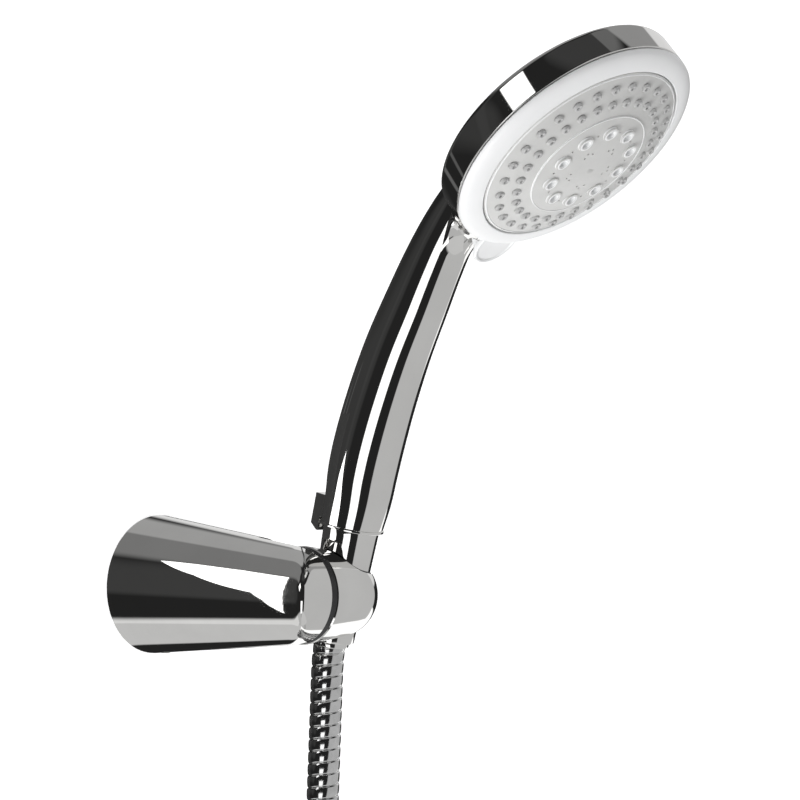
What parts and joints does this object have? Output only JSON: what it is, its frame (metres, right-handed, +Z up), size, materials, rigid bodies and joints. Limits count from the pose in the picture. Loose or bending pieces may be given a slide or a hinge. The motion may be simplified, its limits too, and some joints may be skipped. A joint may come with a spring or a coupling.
{
  "type": "handheld shower head",
  "caption": "Handheld shower head with a round multi-spray face and curved handle, resting in a tilting cone-shaped wall bracket, with its metal hose.",
  "frame": {"origin": "centre of the bracket's flat wall face", "axes": "+Y goes into the wall, +X is to the right for someone facing the wall, +Z is up"},
  "size_m": [0.2061, 0.2482, 0.4976],
  "materials": {
    "zinc": "plain casting",
    "chrome_metal": "bright plated",
    "steel": "satin",
    "black_plastic": "matte",
    "brass": "machined",
    "black_rubber": "matte",
    "white_plastic": "gloss",
    "chrome_plastic": "bright plated plastic",
    "clear_plastic": "natural",
    "pale_plastic": "satin",
    "pale_silicone": "satin",
    "hose_metal": "bright metal over a rubber core"
  },
  "bodies": {
    "bracket": {"wall_plate": "zinc", "bracket_cone": "chrome_metal", "grub_screw": "steel", "pivot_bolt": "steel", "friction_washer": "black_plastic", "spring_washer": "steel"},
    "holder": {"holder_body": "chrome_metal", "holder_liner": "black_plastic"},
    "hose_end": {"hose_stem": "brass", "top_ferrule": "chrome_metal"},
    "handset": {"cone_nut": "chrome_metal", "inlet_washer": "black_rubber", "strainer": "steel", "flow_restrictor": "white_plastic", "inlet_spigot": "white_plastic", "lip_ring": "chrome_plastic", "handle_shell": "chrome_plastic", "rear_lug": "chrome_plastic", "water_tube": "clear_plastic", "tube_seal": "black_rubber", "head_shell": "chrome_plastic", "diverter_base": "clear_plastic", "diverter_gasket": "black_rubber", "head_screws": "steel", "face_axle": "brass", "face_screw": "steel"},
    "spray_face": {"face_chamber": "clear_plastic", "face_seal": "black_rubber", "selector_ring": "white_plastic", "nozzle_plate": "pale_plastic", "nozzle_mat": "pale_silicone", "centre_plate": "pale_plastic"},
    "turbine": {"massage_turbine": "white_plastic"},
    "hose": {"hose_tube": "hose_metal", "hose_coil": "hose_metal", "hose_tail": "hose_metal", "hose_tie": "black_plastic", "far_ferrule": "chrome_metal", "far_stem": "brass"},
    "far_end_nut": {"far_nut": "chrome_metal", "far_washer": "black_rubber"}
  },
  "joints": [
    {"name": "bracket_tilt", "type": "hinge", "parent": "bracket", "child": "holder", "pos_m": [0, -0.0875, 0], "axis": [1, 0, 0], "range_deg": [-20, 30]},
    {"name": "handset_lift", "type": "slide", "parent": "holder", "child": "hose_end", "axis": [0, -0.1994, 0.9799], "range_m": [0, 0.024]},
    {"name": "handset_twist", "type": "hinge", "parent": "hose_end", "child": "handset", "pos_m": [0.026, -0.0875, 0], "axis": [0, -0.1994, 0.9799], "range_deg": [-90, 90]},
    {"name": "spray_select", "type": "hinge", "parent": "handset", "child": "spray_face", "pos_m": [0.0314, -0.20531, 0.19204], "axis": [0.0564, -0.6737, -0.7369], "range_deg": [-48, 42]},
    {"name": "turbine_spin", "type": "hinge", "parent": "spray_face", "child": "turbine", "pos_m": [0.0314, -0.20531, 0.19204], "axis": [0.0564, -0.6737, -0.7369], "continuous": true},
    {"name": "hose_swing", "type": "hinge", "parent": "hose_end", "child": "hose", "pos_m": [0.026, -0.08303, -0.02195], "axis": [1, 0, 0], "range_deg": [-30, 20], "deforming": ["hose_tube"]},
    {"name": "far_nut_spin", "type": "hinge", "parent": "hose", "child": "far_end_nut", "pos_m": [0.026, -0.0388, -0.24], "axis": [0, 0, -1], "continuous": true}
  ],
  "couplings": [
    {"joint": "hose_swing", "follows": "bracket_tilt", "ratio": -1}
  ]
}
